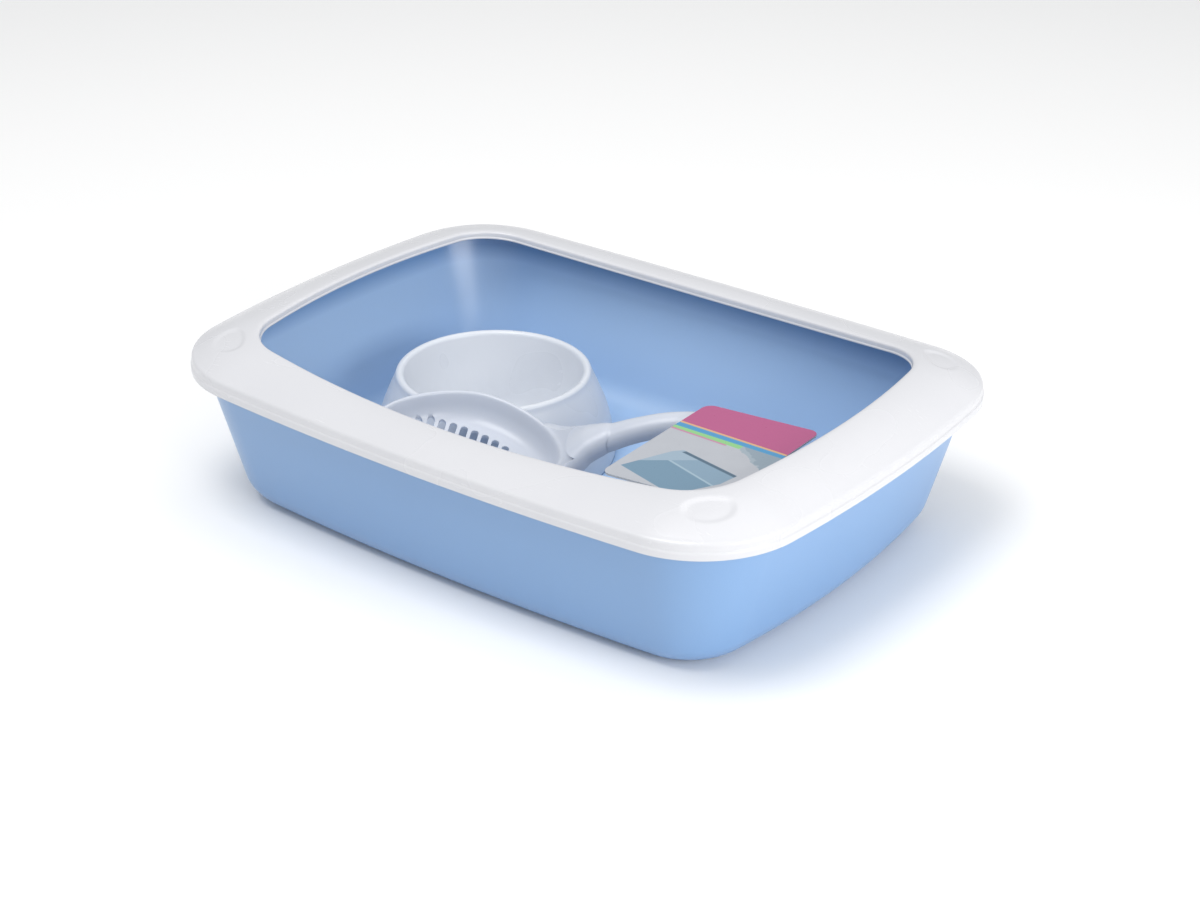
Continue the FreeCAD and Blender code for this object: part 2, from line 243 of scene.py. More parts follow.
def finished(mesh, material, sharp=40.0):
    """An object of the mesh, smooth but for edges over that many degrees, faces outwards."""
    work = bmesh.new()
    work.from_mesh(mesh)
    bmesh.ops.remove_doubles(work, verts=work.verts, dist=1e-6)
    bmesh.ops.recalc_face_normals(work, faces=work.faces)
    work.to_mesh(mesh)
    work.free()
    mesh.shade_smooth()
    mesh.set_sharp_from_angle(angle=math.radians(sharp))
    if material is not None:
        mesh.materials.clear()
        mesh.materials.append(material)
    piece = bpy.data.objects.new(mesh.name, mesh)
    bpy.context.scene.collection.objects.link(piece)
    return piece


def wall_row(height, thickness=0.0, level=None):
    """A row of the wall: thickness in from its outer face, and at level if the floor lifts it."""
    foot = wall_top_inset + skirt_bottom * math.tan(draft)
    if height >= fillet * (1 - math.sin(draft)):
        inset = foot - height * math.tan(draft)
    else:
        middle = foot - fillet * math.tan(draft) + fillet / math.cos(draft)
        inset = middle - math.sqrt(fillet ** 2 - (fillet - height) ** 2)
    share = max(0.0, 1 - height / skirt_bottom)
    top_corner = outline_corner - wall_top_inset
    return np.array([
        tray_length - 2 * (inset + thickness),
        tray_width - 2 * (inset * width_share + thickness),
        top_corner + (base_corner - top_corner) * share - thickness,
        outline_bow[0], outline_bow[1],
        height if level is None else level,
        side_sag * (1 - share),
    ])


tray_steps = (22, 18, 34)
rounding = [fillet * (1 - math.cos((math.pi / 2 - draft) * k / 14)) for k in range(15)]
straight = [24.0, 34.0, 44.0, 54.0, 64.0, 74.0]
flange_bottom = flange_top - flange_thickness
wall_across = wall_thickness / math.cos(draft)
lift = (rounding[-1] - floor_thickness) / rounding[-1]

outer_rows = [wall_row(z) for z in rounding + straight]
flange_rows = [
    wall_row(84.0),
    wall_row(flange_bottom),
    outline_row(flange_inset, flange_bottom),
    outline_row(flange_inset, flange_top),
    wall_row(flange_top, wall_across),
    wall_row(84.0, wall_across),
]
inner_rows = [wall_row(z, wall_across) for z in reversed(straight)]
inner_rows += [wall_row(z, wall_across, floor_thickness + z * lift) for z in reversed(rounding)]
tray_rows = outer_rows + eased(flange_rows, (0, 2.0, 0.8, 0.8, 2.0, 0)) + inner_rows

# Moulded plastic's skin: a fine grain from the tool, slow waves where the wall shrank as it
# cooled, and a few rubs from handling. Every plastic piece here has it, in its own strength.
skin_group = bpy.data.node_groups.new("moulded_skin", "ShaderNodeTree")
for socket, kind, value in (
        ("Vector", "NodeSocketVector", None), ("Grain Scale", "NodeSocketFloat", 900.0),
        ("Wave Scale", "NodeSocketFloat", 26.0), ("Wave Share", "NodeSocketFloat", 0.25)):
    made = skin_group.interface.new_socket(socket, in_out="INPUT", socket_type=kind)
    if value is not None:
        made.default_value = value
for socket in ("Height", "Cloud", "Rubs"):
    skin_group.interface.new_socket(socket, in_out="OUTPUT", socket_type="NodeSocketFloat")
nodes, links = skin_group.nodes, skin_group.links
given = add(nodes, "NodeGroupInput")
put_out = add(nodes, "NodeGroupOutput")
grain = add(nodes, "ShaderNodeTexNoise", Detail=2.0, Roughness=0.6)
wave = add(nodes, "ShaderNodeTexNoise", Detail=1.5, Roughness=0.4)
blend_height = add(nodes, "ShaderNodeMix")
links.new(given.outputs["Vector"], grain.inputs["Vector"])
links.new(given.outputs["Grain Scale"], grain.inputs["Scale"])
links.new(given.outputs["Vector"], wave.inputs["Vector"])
links.new(given.outputs["Wave Scale"], wave.inputs["Scale"])
links.new(given.outputs["Wave Share"], blend_height.inputs["Factor"])
links.new(grain.outputs["Fac"], blend_height.inputs["A"])
links.new(wave.outputs["Fac"], blend_height.inputs["B"])
stretched = add(nodes, "ShaderNodeMapping", Scale=(1.0, 14.0, 3.0), Rotation=(0.2, 0.3, 0.6))
rub_lines = add(nodes, "ShaderNodeTexNoise", Scale=70.0, Detail=4.0, Roughness=0.7)
rub_patch = add(nodes, "ShaderNodeTexNoise", Scale=9.0, Detail=2.0)
soft_step = {"interpolation_type": "SMOOTHSTEP"}
rub_sharp = add(nodes, "ShaderNodeMapRange", soft_step, From_Min=0.56, From_Max=0.78)
patch_sharp = add(nodes, "ShaderNodeMapRange", soft_step, From_Min=0.42, From_Max=0.70)
rubs = add(nodes, "ShaderNodeMath", {"operation": "MULTIPLY"})
links.new(given.outputs["Vector"], stretched.inputs["Vector"])
links.new(stretched.outputs["Vector"], rub_lines.inputs["Vector"])
links.new(given.outputs["Vector"], rub_patch.inputs["Vector"])
links.new(rub_lines.outputs["Fac"], rub_sharp.inputs["Value"])
links.new(rub_patch.outputs["Fac"], patch_sharp.inputs["Value"])
links.new(rub_sharp.outputs["Result"], rubs.inputs[0])
links.new(patch_sharp.outputs["Result"], rubs.inputs[1])
links.new(blend_height.outputs["Result"], put_out.inputs["Height"])
links.new(wave.outputs["Fac"], put_out.inputs["Cloud"])
links.new(rubs.outputs["Value"], put_out.inputs["Rubs"])


def moulded(name, deep, pale, roughness, waves, bump):
    """A moulded plastic: its colour drifts between deep and pale, its gloss between two values."""
    material, nodes, links, shader = new_material(name)
    place = add(nodes, "ShaderNodeTexCoord")
    skin = nodes.new("ShaderNodeGroup")
    skin.node_tree = skin_group
    skin.inputs["Wave Scale"].default_value = waves
    links.new(place.outputs["Object"], skin.inputs["Vector"])
    tone = add(nodes, "ShaderNodeMix", {"data_type": "RGBA"})
    tone.inputs["A"].default_value = (*deep, 1.0)
    tone.inputs["B"].default_value = (*pale, 1.0)
    links.new(skin.outputs["Cloud"], tone.inputs["Factor"])
    links.new(tone.outputs["Result"], shader.inputs["Base Color"])
    gloss = add(nodes, "ShaderNodeMapRange", To_Min=roughness[0], To_Max=roughness[1])
    rubbed = add(nodes, "ShaderNodeMath", {"operation": "MULTIPLY_ADD"})
    rubbed.inputs[1].default_value = 0.012
    links.new(skin.outputs["Cloud"], gloss.inputs["Value"])
    links.new(skin.outputs["Rubs"], rubbed.inputs[0])
    links.new(gloss.outputs["Result"], rubbed.inputs[2])
    links.new(rubbed.outputs["Value"], shader.inputs["Roughness"])
    relief = add(nodes, "ShaderNodeBump", Strength=bump, Distance=0.0003)
    links.new(skin.outputs["Height"], relief.inputs["Height"])
    links.new(relief.outputs["Normal"], shader.inputs["Normal"])
    shader.inputs["IOR"].default_value = 1.49
    return material


tray_plastic = moulded(
    "tray_blue_plastic", (0.180, 0.330, 0.580), (0.205, 0.360, 0.610), (0.26, 0.36), 11.0, 0.16)

# The inside is painted paler than the outside. This is painted light: it stands in for the whitish haze
# of the clear film that the inside is only ever seen through here, and for light that comes through the
# thin walls. It is only ever seen through clear film here, so how much of that paleness is the
# plastic's own isn't known.
nodes, links = tray_plastic.node_tree.nodes, tray_plastic.node_tree.links
tray_shader = nodes["Principled BSDF"]
tray_shader.inputs["Specular IOR Level"].default_value = 0.85
outside_tone = tray_shader.inputs["Base Color"].links[0].from_socket
painted_haze_mask = add(nodes, "ShaderNodeAttribute", {"attribute_name": "paler"})
inside_painted_haze = add(nodes, "ShaderNodeMix", {"data_type": "RGBA"})
inside_painted_haze.inputs["B"].default_value = (0.420, 0.600, 0.850, 1.0)
links.new(painted_haze_mask.outputs["Fac"], inside_painted_haze.inputs["Factor"])
links.new(outside_tone, inside_painted_haze.inputs["A"])
links.new(inside_painted_haze.outputs["Result"], tray_shader.inputs["Base Color"])

tray_mesh = skin_mesh("litter_tray_shell", [row_ring(row, tray_steps) for row in tray_rows])
around = len(tray_mesh.vertices) // len(tray_rows)
first_inner_row = len(tray_rows) - len(inner_rows)
# The inner rows are marked for the painted light: there the material paints the tray paler.
tray_mesh.attributes.new("paler", "FLOAT", "POINT").data.foreach_set(
    "value", [float(i // around >= first_inner_row) for i in range(len(tray_mesh.vertices))])
litter_tray = finished(tray_mesh, tray_plastic)
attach(litter_tray, "tray")
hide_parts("litter_tray")


# ---------------------------------------------------------------- the rim
# A separate frame of glossy white polypropylene that clips over the tray's flange. Its top
# slopes up to the opening with a slight crown, and has a shallow thumb rest at each corner.
opening_length = 347.0
opening_width = 240.0
opening_corner = 33.7
opening_bow = (14.6, 14.5)
opening_height = 105.3
opening_sag = 8.2
crease_height = 93.0
crease_inset = 0.8
slope_crown = 2.4
lip_depth = 5.0
rim_wall = 2.0


def slope_row(share, drop=0.0):
    """A row of the sloping top, from the crease, share 0, to the opening, share 1."""
    crease = np.array([tray_length - 2 * crease_inset, tray_width - 2 * crease_inset,
                       outline_corner - crease_inset, outline_bow[0], outline_bow[1],
                       crease_height, side_sag])
    opening = np.array([opening_length, opening_width, opening_corner, opening_bow[0],
                        opening_bow[1], opening_height, opening_sag])
    row = crease + (opening - crease) * share
    row[5] += 4 * slope_crown * share * (1 - share) - drop
    return row


rest_half_length = 15.3
rest_inner = 8.0
rest_outer = 12.0
rest_depth = 1.1
rest_middle = Vector((168.5, 112.6))
rest_heading = math.radians(46.3)


def thumb_rest(x, y):
    """How far the top is pressed down at a point: a D-shaped rest, straighter by the opening."""
    from_middle = Vector((abs(x), abs(y))) - rest_middle
    outward = from_middle.x * math.cos(rest_heading) + from_middle.y * math.sin(rest_heading)
    along = -from_middle.x * math.sin(rest_heading) + from_middle.y * math.cos(rest_heading)
    if outward < 0:
        r = ((abs(outward) / rest_inner) ** 2.6 + (abs(along) / rest_half_length) ** 2.2) ** (1 / 2.4)
    else:
        r = math.hypot(outward / rest_outer, along / rest_half_length)
    if r >= 1:
        return 0.0
    edge = min(1.0, (1 - r) * 3.2)
    deep = rest_depth * (1.0 - 0.45 * max(0.0, outward / rest_outer))
    return deep * edge * edge * (3 - 2 * edge)


rim_steps = (26, 76, 44)
under = rim_wall / ((tray_length - opening_length) / 2)
skirt_rows = eased(
    [outline_row(rim_wall, 84.0), outline_row(0.0, 84.0), outline_row(0.0, 88.0),
     outline_row(0.7, 88.7), outline_row(0.7, 92.6), outline_row(1.7, 93.7), slope_row(0.07)],
    (0, 0.7, 0.8, 0.5, 0.8, 0.7, 0))
top_rows = [slope_row(0.07 + 0.86 * k / 34) for k in range(1, 35)]
lip_rows = eased(
    [slope_row(0.93), slope_row(1.0, 0.5), slope_row(1.0, 3.6), slope_row(1.012, 4.0),
     slope_row(1.012, lip_depth), slope_row(1 - under, lip_depth), slope_row(1 - under, rim_wall + 0.7),
     slope_row(0.90, rim_wall)],
    (0, 1.5, 0.3, 0.4, 0.5, 0.3, 0.8, 0))
under_rows = [slope_row(0.88 - 0.76 * k / 24, rim_wall) for k in range(25)]
hollow_rows = eased(
    [slope_row(0.10, rim_wall), outline_row(rim_wall + 1.4, 92.3), outline_row(rim_wall, 91.3),
     outline_row(rim_wall, 84.0)], (0, 0.5, 0.5, 0))[:-1]

pressed = len(skirt_rows) + len(top_rows)
rim_rings = []
for k, row in enumerate(skirt_rows + top_rows + lip_rows + under_rows + hollow_rows):
    ring = row_ring(row, rim_steps)
    on_top = len(skirt_rows) <= k < pressed
    beneath = pressed + len(lip_rows) <= k < pressed + len(lip_rows) + len(under_rows)
    if on_top or beneath:
        for p in ring:
            p.z -= thumb_rest(p.x, p.y)
    rim_rings.append(ring)

rim_plastic = moulded(
    "rim_white_plastic", (0.63, 0.635, 0.665), (0.67, 0.675, 0.70), (0.24, 0.30), 18.0, 0.12)
rim_frame = finished(skin_mesh("rim_frame_shell", rim_rings, closed=True), rim_plastic)
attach(rim_frame, "rim")
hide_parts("rim_frame")


# ---------------------------------------------------------------- grip ribs under the rim
# Four short upright ribs on each side of the skirt's inner face, moulded with it. They press on
# the edge of the tray's flange, so that the rim holds without a catch.
grip_depth = 1.6
grip_width = 1.6
grip_height = 4.0
grip_rise = 1.6


def new_tree(name, sizes):
    """A geometry tree with a geometry input, named sizes and a material, and its two end nodes."""
    tree = bpy.data.node_groups.new(name, "GeometryNodeTree")
    tree.interface.new_socket("Geometry", in_out="INPUT", socket_type="NodeSocketGeometry")
    for size_name, kind in sizes:
        tree.interface.new_socket(size_name, in_out="INPUT", socket_type=kind)
    tree.interface.new_socket("Material", in_out="INPUT", socket_type="NodeSocketMaterial")
    tree.interface.new_socket("Geometry", in_out="OUTPUT", socket_type="NodeSocketGeometry")
    return tree, tree.nodes.new("NodeGroupInput"), tree.nodes.new("NodeGroupOutput")


def made_by(tree, name, start, sizes):
    """Runs the tree on a mesh with those sizes and returns the plain mesh that it makes."""
    worker = bpy.data.objects.new(name + "_worker", start)
    bpy.context.scene.collection.objects.link(worker)
    modifier = worker.modifiers.new("tree", "NODES")
    modifier.node_group = tree
    for item in tree.interface.items_tree:
        if item.in_out == "INPUT" and item.name in sizes:
            modifier[item.identifier] = sizes[item.name]
    graph = bpy.context.evaluated_depsgraph_get()
    mesh = bpy.data.meshes.new_from_object(worker.evaluated_get(graph))
    mesh.name = name
    bpy.data.objects.remove(worker)
    return mesh


tree, given, put_out = new_tree("grip_ribs", [
    ("Depth", "NodeSocketFloat"), ("Width", "NodeSocketFloat"), ("Height", "NodeSocketFloat")])
nodes, links = tree.nodes, tree.links
block_size = add(nodes, "ShaderNodeCombineXYZ")
block = add(nodes, "GeometryNodeMeshCube")
heading = add(nodes, "GeometryNodeInputNamedAttribute", {"data_type": "FLOAT"}, Name="heading")
spin = add(nodes, "ShaderNodeCombineXYZ")
placed = add(nodes, "GeometryNodeInstanceOnPoints")
real = add(nodes, "GeometryNodeRealizeInstances")
painted = add(nodes, "GeometryNodeSetMaterial")
links.new(given.outputs["Depth"], block_size.inputs["X"])
links.new(given.outputs["Width"], block_size.inputs["Y"])
links.new(given.outputs["Height"], block_size.inputs["Z"])
links.new(block_size.outputs["Vector"], block.inputs["Size"])
links.new(heading.outputs["Attribute"], spin.inputs["Z"])
links.new(given.outputs["Geometry"], placed.inputs["Points"])
links.new(block.outputs["Mesh"], placed.inputs["Instance"])
links.new(spin.outputs["Vector"], placed.inputs["Rotation"])
links.new(placed.outputs["Instances"], real.inputs["Geometry"])
links.new(real.outputs["Geometry"], painted.inputs["Geometry"])
links.new(given.outputs["Material"], painted.inputs["Material"])
links.new(painted.outputs["Geometry"], put_out.inputs["Geometry"])

side_points = 60
inner_face = bowed_outline(tray_length, tray_width, outline_corner, outline_bow, (side_points,) * 3)
rib_places = []
rib_headings = []
for side in range(4):
    for share in (0.2, 0.4, 0.6, 0.8):
        i = side * 2 * side_points + round(share * side_points)
        x, y = inner_face[i]
        nx, ny = inner_face[i + 1]
        turn = math.atan2(-(nx - x), ny - y)
        sag = side_sag * (1 - (2 * x / tray_length) ** 2)
        back = rim_wall + grip_depth / 2 - 1.0
        rib_places.append((
            (x - back * math.cos(turn)) * MM, (y - back * math.sin(turn)) * MM,
            (skirt_bottom + grip_rise - sag + grip_height / 2) * MM))
        rib_headings.append(turn)
seats = bpy.data.meshes.new("rib_seats")
seats.from_pydata(rib_places, [], [])
seats.attributes.new("heading", "FLOAT", "POINT").data.foreach_set("value", rib_headings)
rim_grips = finished(
    made_by(tree, "rim_grip_ribs", seats, {
        "Depth": grip_depth * MM, "Width": grip_width * MM, "Height": grip_height * MM,
        "Material": rim_plastic}), rim_plastic)
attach(rim_grips, "rim")
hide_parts("rim_frame")


# ---------------------------------------------------------------- the feeding bowl
# A bowl of bluish white polypropylene, one moulded wall: the dish turns over at a thick rolled
# lip and comes down as a flared body, open underneath, on which the bowl stands.
bowl_middle = Vector((-84.5, 21.0, 2.7))
bowl_height = 55.0
bowl_lip = 2.6
bowl_rim_radius = 59.5
bowl_turns = 144


def through(points, steps):
    """A smooth line through the points, with that many steps from each to the next."""
    points = [np.array(p, float) for p in points]
    at = [0.0]
    for a, b in zip(points, points[1:]):
        at.append(at[-1] + float(np.linalg.norm(b - a)))
    slopes = []
    for i in range(len(points)):
        low = max(i - 1, 0)
        high = min(i + 1, len(points) - 1)
        slopes.append((points[high] - points[low]) / (at[high] - at[low]))
    made = []
    for i in range(len(points) - 1):
        span = at[i + 1] - at[i]
        for k in range(steps):
            t = k / steps
            made.append(
                points[i] * (2 * t ** 3 - 3 * t ** 2 + 1)
                + slopes[i] * span * (t ** 3 - 2 * t ** 2 + t)
                + points[i + 1] * (3 * t ** 2 - 2 * t ** 3)
                + slopes[i + 1] * span * (t ** 3 - t ** 2))
    made.append(points[-1])
    return made


lip_inner = bowl_rim_radius - 2 * bowl_lip
dish_line = through([(3.0, 5.2), (20.0, 5.2), (35.0, 5.2), (41.5, 7.4), (45.8, 14.0), (51.1, 32.0),
                     (lip_inner, bowl_height - bowl_lip)], 6)[:-1]
lip_line = []
for k in range(13):
    turn = math.pi * (1 - k / 12)
    lip_line.append((bowl_rim_radius - bowl_lip + bowl_lip * math.cos(turn),
                     bowl_height - bowl_lip + bowl_lip * math.sin(turn)))
body_line = through([
    (bowl_rim_radius, bowl_height - bowl_lip), (68.8, 30.0), (72.8, 12.0), (74.0, 0.9)], 8)[1:]
foot_line = [(73.8, 0.25), (73.3, 0.0), (72.5, 0.0), (72.0, 0.25)]
inside_line = through([(71.8, 0.9), (70.6, 12.0), (66.6, 29.0), (58.1, 48.0)], 6)
web_line = through([(57.4, 48.7), (56.3, 48.6), (55.7, 47.6)], 3)
under_line = through([(55.4, 46.5), (53.1, 31.0), (47.3, 12.2), (42.6, 5.6), (36.0, 3.0), (20.0, 3.0),
                      (3.0, 3.0)], 6)
bowl_rings = []
for radius, height in dish_line + lip_line + body_line + foot_line + inside_line + web_line + under_line:
    bowl_rings.append([
        bowl_middle + Vector((radius * math.cos(a), radius * math.sin(a), height))
        for a in (2 * math.pi * i / bowl_turns for i in range(bowl_turns))])

bowl_plastic = moulded(
    "bowl_white_plastic", (0.68, 0.715, 0.775), (0.72, 0.75, 0.80), (0.25, 0.31), 22.0, 0.12)
food_bowl = finished(skin_mesh("food_bowl_shell", bowl_rings), bowl_plastic)
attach(food_bowl, "bowl")
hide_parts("food_bowl")


# ---------------------------------------------------------------- the litter scoop
# A scoop of the same bluish white plastic: a shallow oval dish with a thick edge and slots that
# let clean litter through, a broad shoulder, and a hollow handle that is open underneath.
scoop_middle = Vector((-27.4, -71.0, 63.2))
scoop_turn = Euler((math.radians(10.9), math.radians(9.4), math.radians(30.2)), "XYZ")
dish_half_length = 56.2
dish_half_width = 45.6
dish_power = 1.73
dish_turns = 176
dish_depth = 16.0
slot_count = 10
slot_pitch = 6.55
slot_width = 4.4
slot_first = -31.8
slot_reach = 31.5
slot_longest_at = -15.0
slot_shortening = 0.0083
slot_margin = 8.0
slot_cut_depth = 14.0
slot_cut_middle = -15.0


def oval_ring(inset, height):
    """A ring round the dish, a pointed oval."""
    ring = []
    for i in range(dish_turns):
        turn = 2 * math.pi * (i + 0.5) / dish_turns
        c = math.cos(turn)
        s = math.sin(turn)
        ring.append(Vector((
            math.copysign(abs(c) ** (2 / dish_power), c) * (dish_half_length - inset),
            math.copysign(abs(s) ** (2 / dish_power), s) * (dish_half_width - inset), height)))
    return ring


def capped_rings(line):
    """The rings of a dish line, closed in towards the middle at both ends."""
    first, last = line[0], line[-1]
    steps = (36.0, 33.0, 29.0, 24.0, 20.0)
    rings = [oval_ring(inset, first[1]) for inset in steps if inset > first[0]]
    rings += [oval_ring(inset, height) for inset, height in line]
    return rings + [oval_ring(inset, last[1]) for inset in reversed(steps) if inset > last[0]]


# each line is inset from the dish's edge, and height
inside_points = [(4.1, -4.4), (5.5, -9.0), (7.9, -13.0), (11.4, -15.2), (16.0, -dish_depth)]
dish_outside = through([(16.0, -17.8), (12.0, -17.1), (8.6, -15.4), (6.0, -13.2), (3.6, -9.0),
                        (2.3, -5.0)], 4)
dish_edge = through([(2.0, -4.2), (0.5, -4.0), (-0.3, -3.0), (-0.4, -2.0), (0.1, -0.6), (0.9, 0.1),
                     (1.8, 0.2), (2.7, -0.4), (3.4, -1.9)], 3)
dish_inside = through(inside_points, 4)
dish_mesh = skin_mesh("dish", capped_rings(dish_outside + dish_edge + dish_inside))
hollow_line = through([(-9.0, 11.0), (-4.3, 6.1), (0.2, 1.4), (2.4, 0.1), (3.4, -1.9)] + inside_points, 4)
hollow_mesh = skin_mesh("hollow", capped_rings(hollow_line))

# along the scoop, height of the spine, half width, rise of the arch, depth of its sides, the
# arch's exponent, which is smaller where the arch is flatter on top, and the wall's thickness
handle_stations = through([
    (40.0, -2.4, 31.5, 4.5, 8.0, 0.40, 7.5),
    (46.0, -1.2, 30.0, 4.5, 8.0, 0.42, 7.5),
    (50.0, 0.0, 28.0, 4.8, 8.0, 0.45, 7.5),
    (55.0, 2.8, 25.0, 5.2, 8.0, 0.50, 7.5),
    (60.0, 7.0, 21.0, 6.0, 8.0, 0.60, 6.0),
    (65.0, 10.9, 17.0, 6.6, 7.0, 0.70, 3.6),
    (69.0, 13.8, 14.1, 6.8, 6.0, 0.75, 1.8),
    (78.0, 18.9, 10.2, 6.4, 5.0, 0.80, 1.8),
    (78.8, 19.0, 9.6, 5.9, 4.8, 0.80, 1.8),
    (92.0, 26.5, 8.2, 5.8, 4.4, 0.80, 1.8),
    (110.0, 34.6, 7.8, 5.6, 4.2, 0.80, 1.8),
    (130.0, 38.7, 8.0, 5.5, 4.0, 0.80, 1.8),
    (150.0, 38.3, 8.6, 5.4, 3.9, 0.80, 1.8),
    (162.0, 37.9, 8.5, 5.2, 3.8, 0.80, 1.8),
    (168.0, 37.8, 7.6, 4.8, 3.3, 0.80, 1.8),
    (170.4, 37.7, 6.0, 4.0, 2.6, 0.80, 1.8),
    (171.2, 37.7, 4.0, 2.9, 1.8, 0.80, 1.8)], 4)
handle_skew = (0.2, 0.068)
arch_steps = 22
tip_starts = 165.5


def arch_ring(middle, slope, half_width, rise, drop, power, wall, fill):
    """A ring across the handle: the outer arch there and the inner arch back."""
    normal = Vector((-math.sin(slope), 0, math.cos(slope)))
    ring = []
    for width, height, order in (
            (half_width, rise + drop, range(arch_steps + 1)),
            ((half_width - wall) * fill, (rise + drop - wall) * fill, range(arch_steps, -1, -1))):
        for k in order:
            turn = math.pi * k / arch_steps
            up = max(0.0, math.sin(turn)) ** power * height
            ring.append(middle + Vector((0, width * math.cos(turn), 0)) + normal * (up - drop))
    return ring


handle_rings = []
for i, station in enumerate(handle_stations):
    before = handle_stations[max(i - 1, 0)]
    after = handle_stations[min(i + 1, len(handle_stations) - 1)]
    slope = math.atan2(after[1] - before[1], after[0] - before[0])
    fill = min(1.0, max(0.04, (tip_starts + 2.5 - station[0]) / 2.5))
    skew = handle_skew[0] + handle_skew[1] * station[0]
    handle_rings.append(arch_ring(
        Vector((station[0], skew, station[1])), slope, *station[2:], fill))
handle_mesh = skin_mesh("handle", handle_rings)

tree, given, put_out = new_tree("scoop_slots", [
    ("Handle", "NodeSocketObject"), ("Hollow", "NodeSocketObject"), ("Count", "NodeSocketInt"),
    ("First", "NodeSocketFloat"), ("Pitch", "NodeSocketFloat"), ("Width", "NodeSocketFloat"),
    ("Reach", "NodeSocketFloat"), ("Longest At", "NodeSocketFloat"), ("Shortening", "NodeSocketFloat"),
    ("Dish Half Length", "NodeSocketFloat"), ("Dish Half Width", "NodeSocketFloat"),
    ("Power", "NodeSocketFloat"), ("Margin", "NodeSocketFloat"), ("Depth", "NodeSocketFloat")])
nodes, links = tree.nodes, tree.links


def maths(operation, first, second=None, third=None):
    """A math node fed by links or by numbers."""
    node = nodes.new("ShaderNodeMath")
    node.operation = operation
    for socket, value in zip(node.inputs, (first, second, third)):
        if isinstance(value, (int, float)):
            socket.default_value = value
        elif value is not None:
            links.new(value, socket)
    return node.outputs["Value"]


start_at = add(nodes, "ShaderNodeCombineXYZ")
step_by = add(nodes, "ShaderNodeCombineXYZ")
row_of = add(nodes, "GeometryNodeMeshLine", {"mode": "OFFSET"})
links.new(given.outputs["First"], start_at.inputs["X"])
links.new(given.outputs["Pitch"], step_by.inputs["X"])
links.new(given.outputs["Count"], row_of.inputs["Count"])
links.new(start_at.outputs["Vector"], row_of.inputs["Start Location"])
links.new(step_by.outputs["Vector"], row_of.inputs["Offset"])

place = add(nodes, "GeometryNodeInputPosition")
apart = add(nodes, "ShaderNodeSeparateXYZ")
links.new(place.outputs["Position"], apart.inputs["Vector"])
share_out = maths("ABSOLUTE", maths("DIVIDE", apart.outputs["X"], given.outputs["Dish Half Length"]))
left_over = maths("SUBTRACT", 1.0, maths("POWER", share_out, given.outputs["Power"]))
oval = maths("POWER", left_over, maths("DIVIDE", 1.0, given.outputs["Power"]))
oval_half = maths("MULTIPLY", given.outputs["Dish Half Width"], oval)
by_edge = maths("SUBTRACT", oval_half, given.outputs["Margin"])
from_longest = maths("SUBTRACT", apart.outputs["X"], given.outputs["Longest At"])
shorter_by = maths("MULTIPLY", given.outputs["Shortening"], maths("POWER", from_longest, 2.0))
by_place = maths("SUBTRACT", given.outputs["Reach"], shorter_by)
half_slot = maths("MULTIPLY_ADD", given.outputs["Width"], -0.5, maths("MINIMUM", by_place, by_edge))

cut_size = add(nodes, "ShaderNodeCombineXYZ", Y=1.0)
cut_block = add(nodes, "GeometryNodeMeshCube")
links.new(given.outputs["Width"], cut_size.inputs["X"])
links.new(given.outputs["Depth"], cut_size.inputs["Z"])
links.new(cut_size.outputs["Vector"], cut_block.inputs["Size"])
cut_scale = add(nodes, "ShaderNodeCombineXYZ", X=1.0, Z=1.0)
links.new(maths("MULTIPLY", half_slot, 2.0), cut_scale.inputs["Y"])
blocks = add(nodes, "GeometryNodeInstanceOnPoints")
links.new(row_of.outputs["Mesh"], blocks.inputs["Points"])
links.new(cut_block.outputs["Mesh"], blocks.inputs["Instance"])
links.new(cut_scale.outputs["Vector"], blocks.inputs["Scale"])

end_round = add(nodes, "GeometryNodeMeshCylinder", Vertices=24)
links.new(maths("MULTIPLY", given.outputs["Width"], 0.5), end_round.inputs["Radius"])
links.new(given.outputs["Depth"], end_round.inputs["Depth"])
cutters = add(nodes, "GeometryNodeJoinGeometry")
links.new(blocks.outputs["Instances"], cutters.inputs["Geometry"])
for side in (-1.0, 1.0):
    shift = add(nodes, "ShaderNodeCombineXYZ")
    links.new(maths("MULTIPLY", half_slot, side), shift.inputs["Y"])
    moved = add(nodes, "GeometryNodeSetPosition")
    ends = add(nodes, "GeometryNodeInstanceOnPoints")
    links.new(row_of.outputs["Mesh"], moved.inputs["Geometry"])
    links.new(shift.outputs["Vector"], moved.inputs["Offset"])
    links.new(moved.outputs["Geometry"], ends.inputs["Points"])
    links.new(end_round.outputs["Mesh"], ends.inputs["Instance"])
    links.new(ends.outputs["Instances"], cutters.inputs["Geometry"])
solid_cutters = add(nodes, "GeometryNodeRealizeInstances")
lowered = add(nodes, "GeometryNodeTransform", Translation=(0, 0, slot_cut_middle * MM))
links.new(cutters.outputs["Geometry"], solid_cutters.inputs["Geometry"])
links.new(solid_cutters.outputs["Geometry"], lowered.inputs["Geometry"])

handle_in = add(nodes, "GeometryNodeObjectInfo")
hollow_in = add(nodes, "GeometryNodeObjectInfo")
links.new(given.outputs["Handle"], handle_in.inputs["Object"])
links.new(given.outputs["Hollow"], hollow_in.inputs["Object"])
trimmed = add(nodes, "GeometryNodeMeshBoolean", {"operation": "DIFFERENCE", "solver": "EXACT"})
joined = add(nodes, "GeometryNodeMeshBoolean", {"operation": "UNION", "solver": "EXACT"})
slotted = add(nodes, "GeometryNodeMeshBoolean", {"operation": "DIFFERENCE", "solver": "EXACT"})
slotted.inputs["Self Intersection"].default_value = True
real = add(nodes, "GeometryNodeRealizeInstances")
painted = add(nodes, "GeometryNodeSetMaterial")
links.new(handle_in.outputs["Geometry"], trimmed.inputs["Mesh 1"])
links.new(hollow_in.outputs["Geometry"], trimmed.inputs["Mesh 2"])
